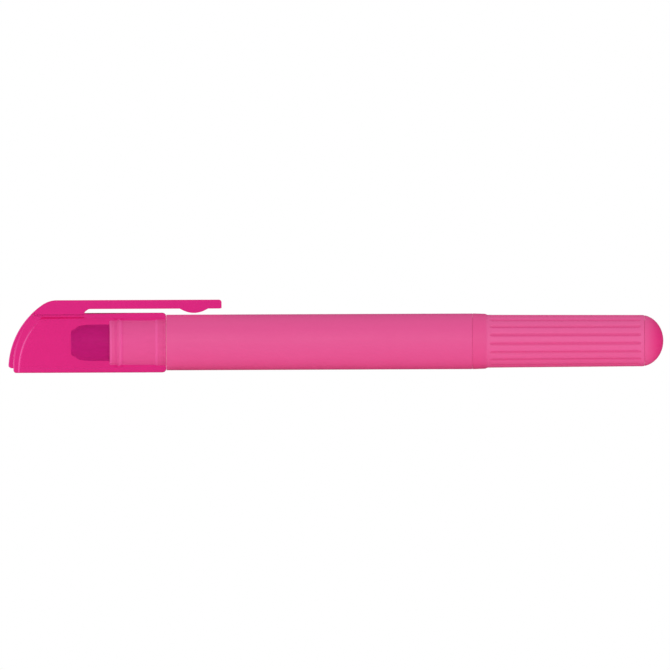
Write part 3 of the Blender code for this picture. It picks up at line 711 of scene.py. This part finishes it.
# Paints the highlight lines over the cap's tint.
colour_over(cap_tree, cap_shader, n["faded"], "Value", NOSE_GLINT_PINK)
inner_plastic = clear_plastic("clear pink cap inside", INSIDE_PINK, INSIDE_DEEP_PINK, 0.05, 1.0)
ridge_plastic = clear_plastic("clear pink cap ridge", RIDGE_PINK, RIDGE_PINK, 0.05, 1.0)


def face_middles(piece):
    """The middle of every face of a piece, with its height measured from the pen's axis."""
    middle = np.empty(3 * len(piece.data.polygons))
    piece.data.polygons.foreach_get("center", middle)
    return middle.reshape(-1, 3) - (0, 0, AXIS_Z)


cap = skin("cap_body", cap_grid(), cap_plastic, closed=False)
centre = face_middles(cap)
height = np.clip(centre[:, 2], -CAP_R, CAP_R)
in_bore = np.hypot(centre[:, 1], centre[:, 2]) < (CAP_R + CAP_BORE_R) / 2
in_bore &= centre[:, 0] > nose_x(height, (NOSE_INSET_LOW + NOSE_WALL_INSET) / 2)
on_nose = centre[:, 0] < nose_x(height, face_inset(centre[:, 2]) + FACE_MARGIN)
under_strip = (on_nose & (centre[:, 2] > STRIP_LOW_Z)) | ((centre[:, 0] < SLOT_X) & (centre[:, 2] > 0))
under_strip &= np.abs(centre[:, 1]) < STRIP_HALF_WIDTH
on_ridge = in_bore & (np.abs(centre[:, 0] - sum(CAP_RIDGES_X) / 2) < RIDGES_HALF)
on_ridge &= np.hypot(centre[:, 1], centre[:, 2]) < CAP_BORE_R - BORE_MARGIN
cap.data.materials.append(inner_plastic)
cap.data.materials.append(ridge_plastic)
cap.data.polygons.foreach_set("material_index", (in_bore | under_strip).astype(np.int32) + on_ridge)
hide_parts("cap_shell")
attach(cap, "cap")


# The clip strip is part of the same moulding as the cap. It runs up over the nose, joins the
# tube by a web behind the crown, and goes on as a springy arm with a shallow lug underneath.
# The faces that lie on the tube and the nose carry no tint.
low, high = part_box("pocket_clip")
CLIP_END_X = high.x + 0.15 * MM
STRIP_TOP = high.z - AXIS_Z
STRIP_EDGE = 0.2 * MM
STRIP_FOOT_EDGE = 0.01 * MM
CLIP_UNDER = STRIP_TOP - 1.9 * MM
CROWN_R = 5.4 * MM
STRIP_GAP = 0.01 * MM
NOSE_GAP = 0.01 * MM
SLOT_RISE = 1.25 * MM
END_EDGE = 0.6 * MM
LUG_X = -30.26 * MM
LUG_HALF = 3.0 * MM
LUG_DEPTH = 0.92 * MM
STRIP_END_EASE = 0.55 * MM
CLIP_END_LIFT = 0.15 * MM
SLOT_ROUNDNESS = 1.6
FOOT_MARGIN = 0.12 * MM
TUBE_MARGIN = 0.1 * MM
SIDE_MARGIN = 0.02 * MM
WEB_BEHIND_NOSE = 5 * MM
STRIP_PINK = (0.712, 0.027, 0.23)
STRIP_DEEP_PINK = (0.692, 0.022, 0.215)


def strip_lines():
    """The strip's top and bottom lines as seen from the side, point by point in pairs.

    Along the nose a pair lies on one radius of the nose curve. Round the crown the top follows
    a smaller arc while the bottom reaches the tube's top. Further back the pairs are upright.
    """
    tube_top = CAP_R + STRIP_GAP
    rise = STRIP_TOP - CROWN_R - NOSE_CENTRE_Z
    join_angle = pi - np.arcsin(rise / (NOSE_CURVE_R - CROWN_R))
    low_angle = pi - np.arcsin((STRIP_LOW_Z - NOSE_CENTRE_Z) / NOSE_CURVE_R)
    crown_x = NOSE_CENTRE_X + (NOSE_CURVE_R - CROWN_R) * np.cos(join_angle)
    a = np.linspace(low_angle, join_angle, 60)
    along = np.clip((low_angle - a) * NOSE_CURVE_R / STRIP_END_EASE, 0, 1)
    outer_r = NOSE_CURVE_R - STRIP_END_EASE * (1 - np.sqrt(1 - (1 - along) ** 2))
    nose_top = np.stack([NOSE_CENTRE_X + outer_r * np.cos(a), NOSE_CENTRE_Z + outer_r * np.sin(a)], 1)
    face_z = NOSE_CENTRE_Z + (NOSE_CURVE_R - NOSE_INSET_LOW) * np.sin(a)
    inner_r = NOSE_CURVE_R - face_inset(face_z) + NOSE_GAP
    nose_bottom = np.stack([NOSE_CENTRE_X + inner_r * np.cos(a), NOSE_CENTRE_Z + inner_r * np.sin(a)], 1)
    nose_bottom[:, 1] = np.minimum(nose_bottom[:, 1], tube_top)

    a = np.linspace(join_angle, pi / 2, 30)[1:]
    crown_top = np.stack([crown_x + CROWN_R * np.cos(a), STRIP_TOP - CROWN_R + CROWN_R * np.sin(a)], 1)
    x = np.linspace(nose_bottom[-1, 0], crown_x, 30)[1:]
    crown_bottom = np.stack([x, tube_top + 0 * x], 1)

    x = np.linspace(crown_x, SLOT_X, 16)[1:]
    web_top = np.stack([x, STRIP_TOP + 0 * x], 1)
    web_bottom = np.stack([x, tube_top + 0 * x], 1)

    s = np.linspace(0, 1, 10)[1:]
    x = SLOT_X + s * SLOT_RISE
    slot_top = np.stack([x, STRIP_TOP + 0 * x], 1)
    slot_bottom = np.stack([x, tube_top + (CLIP_UNDER - tube_top) * (1 - (1 - s) ** SLOT_ROUNDNESS)], 1)

    x = np.linspace(SLOT_X + SLOT_RISE, LUG_X - LUG_HALF - MM, 40)[1:]
    x = np.concatenate([x, np.linspace(LUG_X - LUG_HALF - MM, LUG_X + LUG_HALF + MM, 50)[1:]])
    x = np.concatenate([x, np.linspace(LUG_X + LUG_HALF + MM, CLIP_END_X - END_EDGE, 6)[1:]])
    across = np.clip(1 - ((x - LUG_X) / LUG_HALF) ** 2, 0, 1)
    arm_top = np.stack([x, STRIP_TOP + 0 * x], 1)
    arm_bottom = np.stack([x, CLIP_UNDER - LUG_DEPTH * across], 1)

    s = np.sin(np.linspace(0, pi / 2, 9))[1:]
    x = CLIP_END_X - END_EDGE + END_EDGE * s
    drop = 1 - np.sqrt(1 - s**2)
    end_top = np.stack([x, STRIP_TOP - END_EDGE * drop], 1)
    end_bottom = np.stack([x, CLIP_UNDER + CLIP_END_LIFT * drop], 1)
    top = np.concatenate([nose_top, crown_top, web_top, slot_top, arm_top, end_top])
    bottom = np.concatenate([nose_bottom, crown_bottom, web_bottom, slot_bottom, arm_bottom, end_bottom])
    return top, bottom


def strip_grid(corner_steps=6, foot_steps=24):
    """Rounded rectangles across the strip, each between a top and a bottom point.

    Where the strip stands on the tube, its underside is hollowed to the tube's round. The
    first and last rows shrink to one point.
    """
    top, bottom = strip_lines()
    middle = (top + bottom) / 2
    height = np.linalg.norm(top - bottom, axis=1)
    up = (top - bottom) / height[:, None]
    quarter = np.linspace(0, pi / 2, corner_steps)
    foot = np.linspace(-1, 1, foot_steps)[1:-1]
    corner = np.ones(corner_steps)
    turn = [quarter, quarter + pi / 2, quarter + pi, 0 * foot + 3 * pi / 2, quarter + 3 * pi / 2]
    turn = np.concatenate(turn)
    side = np.concatenate([corner, -corner, -corner, foot, corner])
    upper = np.concatenate([corner, corner, -corner, 0 * foot - 1, -corner])
    on_cap = bottom[:, :1] <= SLOT_X + 0.01 * MM
    edge = np.where(on_cap & (upper < 0), STRIP_FOOT_EDGE, STRIP_EDGE)
    edge = np.minimum(edge, height[:, None] * 0.45)
    y = side * (STRIP_HALF_WIDTH - edge) + edge * np.cos(turn)
    rise = upper * (height[:, None] / 2 - edge) + edge * np.sin(turn)
    on_tube = (bottom[:, 1:] >= CAP_R) & on_cap
    lowness = np.clip(0.5 - rise / height[:, None], 0, 1)
    hollow = on_tube * lowness * (CAP_R - np.sqrt(CAP_R**2 - y**2))
    x = middle[:, :1] + rise * up[:, :1]
    z = middle[:, 1:] + rise * up[:, 1:] - hollow
    rings = np.stack([x, y, AXIS_Z + z], axis=2)
    ends = [np.tile(ring.mean(axis=0), (1, rings.shape[1], 1)) for ring in (rings[0], rings[-1])]
    return np.concatenate([ends[0], rings, ends[1]])


strip_plastic = clear_plastic("clear pink clip", STRIP_PINK, STRIP_DEEP_PINK, 0.06, CLARITY)
strip = skin("clip_strip", strip_grid(), strip_plastic, closed=False)
centre = face_middles(strip)
under = np.abs(centre[:, 1]) < STRIP_HALF_WIDTH - SIDE_MARGIN
on_tube = under & (np.hypot(centre[:, 1], centre[:, 2]) < CAP_R + TUBE_MARGIN)
on_tube &= centre[:, 0] < SLOT_X
reach = np.hypot(centre[:, 0] - NOSE_CENTRE_X, centre[:, 2] - NOSE_CENTRE_Z)
on_face = under & (reach < NOSE_CURVE_R - face_inset(centre[:, 2]) + FOOT_MARGIN)
on_face &= (centre[:, 0] < SLOT_X - WEB_BEHIND_NOSE) & (centre[:, 2] < CAP_R + TUBE_MARGIN)
strip.data.materials.append(inner_plastic)
strip.data.polygons.foreach_set("material_index", (on_tube | on_face).astype(np.int32))
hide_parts("pocket_clip")
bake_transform(strip)


# The knob is a moulded sleeve in the barrel's plastic. A smooth collar faces the barrel, and
# round-bottomed grooves that run out at both ends leave eighteen wide ribs for the fingers.
# The grooves are painted a deeper pink as painted shade, and the collar is given most of the
# same pink to match the barrel.
low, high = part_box("twist_knob")
KNOB_FRONT_X = low.x
KNOB_REAR_X = high.x
TAIL_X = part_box("end_plug")[1].x
COLLAR_R = 5.96 * MM
COLLAR_REAR_R = 5.86 * MM
COLLAR_REAR_X = 32.2 * MM
COLLAR_STEP = 0.35 * MM
KNOB_R = 5.65 * MM
KNOB_BORE_R = 4.72 * MM
KNOB_FRONT_EDGE = 0.25 * MM
KNOB_FRONT_EASE = 0.08 * MM
KNOB_REAR_EDGE = 0.14 * MM
DOME_R = 5.49 * MM
DOME_LENGTH = 4.85 * MM
DOME_X = TAIL_X - DOME_LENGTH
RIB_COUNT = 18
GROOVE_TURN = radians(6)
GROOVE_DEPTH = 0.28 * MM
GROOVE_SHARPNESS = 8
GROOVE_FRONT_X = 32.9 * MM
GROOVE_REAR_X = 65.3 * MM
GROOVE_RUN_OUT = 0.9 * MM
KNOB_PINK = (0.765, 0.095, 0.303)
KNOB_DEEP_PINK = (0.75, 0.085, 0.285)
# Painted shade: the deeper pink at the grooves' bottoms.
GROOVE_SHADE_PINK = (0.735, 0.06, 0.25)
COLLAR_SHADE = 0.85


def knob_grid(sides_per_rib=24):
    """The knob's skin: outside from the front edge to the rear, and back along the bore.

    The outside's radius falls from the collar to the taper, and then follows the dome's ellipse.
    A groove's depth follows cos^8 across the rib's pitch, so the ribs stay crowned, and each
    groove runs out at its ends along a quarter circle. The shade is 1 at a groove's bottom,
    where the painted shade is deepest, and COLLAR_SHADE along the collar.
    """
    angle = np.linspace(0, 2 * pi, RIB_COUNT * sides_per_rib, endpoint=False)
    x = np.concatenate(
        [
            KNOB_FRONT_X + KNOB_FRONT_EDGE * np.array([0, 0.16, 0.48, 1]),
            np.linspace(COLLAR_REAR_X - COLLAR_STEP, GROOVE_FRONT_X, 14),
            np.linspace(GROOVE_FRONT_X, GROOVE_FRONT_X + GROOVE_RUN_OUT, 12)[1:],
            np.linspace(GROOVE_FRONT_X + GROOVE_RUN_OUT, GROOVE_REAR_X - GROOVE_RUN_OUT, 30)[1:],
            np.linspace(GROOVE_REAR_X - GROOVE_RUN_OUT, GROOVE_REAR_X, 12)[1:],
            np.linspace(GROOVE_REAR_X, KNOB_REAR_X - KNOB_REAR_EDGE, 6)[1:],
            KNOB_REAR_X - KNOB_REAR_EDGE * (1 - np.sin(np.linspace(0, pi / 2, 7)))[1:],
        ]
    )[:, None]
    front_ease = KNOB_FRONT_EASE * (1 - np.clip((x - KNOB_FRONT_X) / KNOB_FRONT_EDGE, 0, 1)) ** 2
    step = np.clip((x - COLLAR_REAR_X + COLLAR_STEP) / (2 * COLLAR_STEP), 0, 1)
    step = step**2 * (3 - 2 * step)
    taper = KNOB_R + (DOME_R - KNOB_R) * np.clip((x - COLLAR_REAR_X) / (DOME_X - COLLAR_REAR_X), 0, 1)
    taper = taper - DOME_R + DOME_R * np.sqrt(1 - (np.clip(x - DOME_X, 0, None) / DOME_LENGTH) ** 2)
    collar = COLLAR_R + (COLLAR_REAR_R - COLLAR_R) * (x - KNOB_FRONT_X) / (COLLAR_REAR_X - KNOB_FRONT_X)
    near_rear = np.clip(1 - (KNOB_REAR_X - x) / KNOB_REAR_EDGE, 0, 1)
    rear_ease = KNOB_REAR_EDGE * (1 - np.sqrt(1 - near_rear**2))
    r = (collar - front_ease) * (1 - step) + (taper - rear_ease) * step
    to_groove = ((angle + GROOVE_TURN) * RIB_COUNT / (2 * pi) + 0.5) % 1 - 0.5
    dip = GROOVE_DEPTH * np.cos(pi * to_groove) ** GROOVE_SHARPNESS
    near_end = np.minimum(x - GROOVE_FRONT_X, GROOVE_REAR_X - x) / GROOVE_RUN_OUT
    run_out = GROOVE_DEPTH * (1 - np.sqrt(1 - np.clip(1 - near_end, 0, 1) ** 2))
    depth = np.clip(dip - run_out, 0, None)
    r = r - depth
    shade = np.maximum(depth / GROOVE_DEPTH, COLLAR_SHADE * (1 - step))
    outside = np.stack([x + 0 * angle, -r * np.cos(angle), AXIS_Z + r * np.sin(angle)], axis=2)
    bore = turned(np.array([(KNOB_REAR_X, KNOB_BORE_R), (KNOB_FRONT_X, KNOB_BORE_R)]), len(angle))
    return np.concatenate([outside, bore]), np.concatenate([shade, np.zeros((2, len(angle)))])


knob_plastic = bpy.data.materials.new("milky pink knob")
knob_shader = grained(
    knob_plastic,
    KNOB_PINK,
    KNOB_DEEP_PINK,
    SATIN_ROUGHNESS,
    cloud=0.5,
    flow=0.3,
    pebble=0.35 * MM,
    bump=0.004 * MM,
)
knob_shader.inputs["IOR"].default_value = MILKY_IOR
n = add_nodes(knob_plastic.node_tree, groove="ShaderNodeAttribute")
n["groove"].attribute_name = "shade"
# Paints shade into the grooves, and most of the same pink along the collar.
colour_over(knob_plastic.node_tree, knob_shader, n["groove"], "Fac", GROOVE_SHADE_PINK)

knob_points, knob_groove_shade = knob_grid()
knob = skin("ribbed_knob", knob_points, knob_plastic, shade=knob_groove_shade)
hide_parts("twist_knob")
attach(knob, "knob")


# The end plug closes the knob with a dome that carries on its outline a hair's breadth lower,
# so that a fine joint line shows. Its end grows deeper in colour towards the tail, partly as
# the thick plastic there and partly as painted shade at the dome's rim.
low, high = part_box("end_plug")
PLUG_FRONT_X = low.x
PLUG_SHOULDER_X = KNOB_REAR_X + 0.01 * MM
PLUG_EDGE = 0.1 * MM
PLUG_SPIGOT_R = 4.24 * MM
PLUG_BORE_R = 3.3 * MM
PLUG_FLOOR_X = 67.8 * MM
PLUG_END_SHADE_INSET = 0.5 * MM
PLUG_ROWS = 40
PLUG_PINK = (0.755, 0.078, 0.275)
# Partly painted shade: the deeper pink at the dome's tail.
PLUG_END_SHADE_PINK = (0.74, 0.004, 0.18)

plug_plastic = bpy.data.materials.new("milky pink end plug")
plug_shader = grained(
    plug_plastic, PLUG_PINK, PLUG_PINK, 0.5, cloud=0.4, flow=0.0, pebble=0.35 * MM, bump=0.003 * MM
)
plug_shader.inputs["IOR"].default_value = MILKY_IOR
plug_tree = plug_plastic.node_tree
n = add_nodes(
    plug_tree, place="ShaderNodeTexCoord", split="ShaderNodeSeparateXYZ", deep="ShaderNodeMapRange"
)
n["deep"].interpolation_type = "SMOOTHSTEP"
n["deep"].inputs["From Min"].default_value = DOME_X + PLUG_END_SHADE_INSET
n["deep"].inputs["From Max"].default_value = TAIL_X - PLUG_END_SHADE_INSET
join(plug_tree, n["place"], "Object", n["split"], "Vector")
join(plug_tree, n["split"], "X", n["deep"], "Value")
# Paints the tail's deeper pink over the plug's colour, partly as shade at the dome's rim.
colour_over(plug_tree, plug_shader, n["deep"], "Result", PLUG_END_SHADE_PINK)

turn = np.linspace(0, np.arccos((PLUG_SHOULDER_X + PLUG_EDGE - DOME_X) / DOME_LENGTH), PLUG_ROWS)
dome = np.stack([DOME_X + DOME_LENGTH * np.cos(turn), DOME_R * np.sin(turn)], axis=1)
plug_r = dome[-1, 1]
dome[0, 1] = 0
spigot = eased(
    [
        (*dome[-1], 0),
        (PLUG_SHOULDER_X, plug_r, 0.09 * MM),
        (PLUG_SHOULDER_X, PLUG_SPIGOT_R, 0.1 * MM),
        (PLUG_FRONT_X, PLUG_SPIGOT_R, 0.2 * MM),
        (PLUG_FRONT_X, PLUG_BORE_R, 0.1 * MM),
        (PLUG_FLOOR_X, PLUG_BORE_R, 0.6 * MM),
        (PLUG_FLOOR_X, 0, 0),
    ],
    closed=False,
)[1:]
plug = skin("end_dome", turned(np.concatenate([dome, spigot])), plug_plastic, closed=False)
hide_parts("end_plug")
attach(plug, "knob")


# The mechanism is moulded in undyed plastic. Its colour is painted pink, as painted light
# from the pink parts around it. The guide bush shows as a thin pale line where the knob meets
# the barrel.
# Painted light: undyed plastic coloured with the pink light of the parts around it.
UNDYED_PINK_LIT = (0.88, 0.55, 0.66)
UNDYED_PINK_LIT_MOTTLE = (0.82, 0.47, 0.6)

natural_plastic = bpy.data.materials.new("undyed plastic")
grained(natural_plastic, UNDYED_PINK_LIT, UNDYED_PINK_LIT_MOTTLE, 0.48, cloud=0.6, flow=0.2, pebble=0.3 * MM, bump=0.005 * MM)
for node in ("guide_bush", "drive_nut", "stick_cup", "screw_rod"):
    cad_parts[node].data.materials.clear()
    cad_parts[node].data.materials.append(natural_plastic)


# The friction ring is a small rubber ring, dull and slightly mottled.
RUBBER = (0.07, 0.055, 0.06)
RUBBER_SHADE = (0.045, 0.035, 0.04)

ring_rubber = bpy.data.materials.new("ring rubber")
grained(ring_rubber, RUBBER, RUBBER_SHADE, 0.7, cloud=1.0, flow=0.0, pebble=0.15 * MM, bump=0.01 * MM)
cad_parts["friction_ring"].data.materials.clear()
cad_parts["friction_ring"].data.materials.append(ring_rubber)
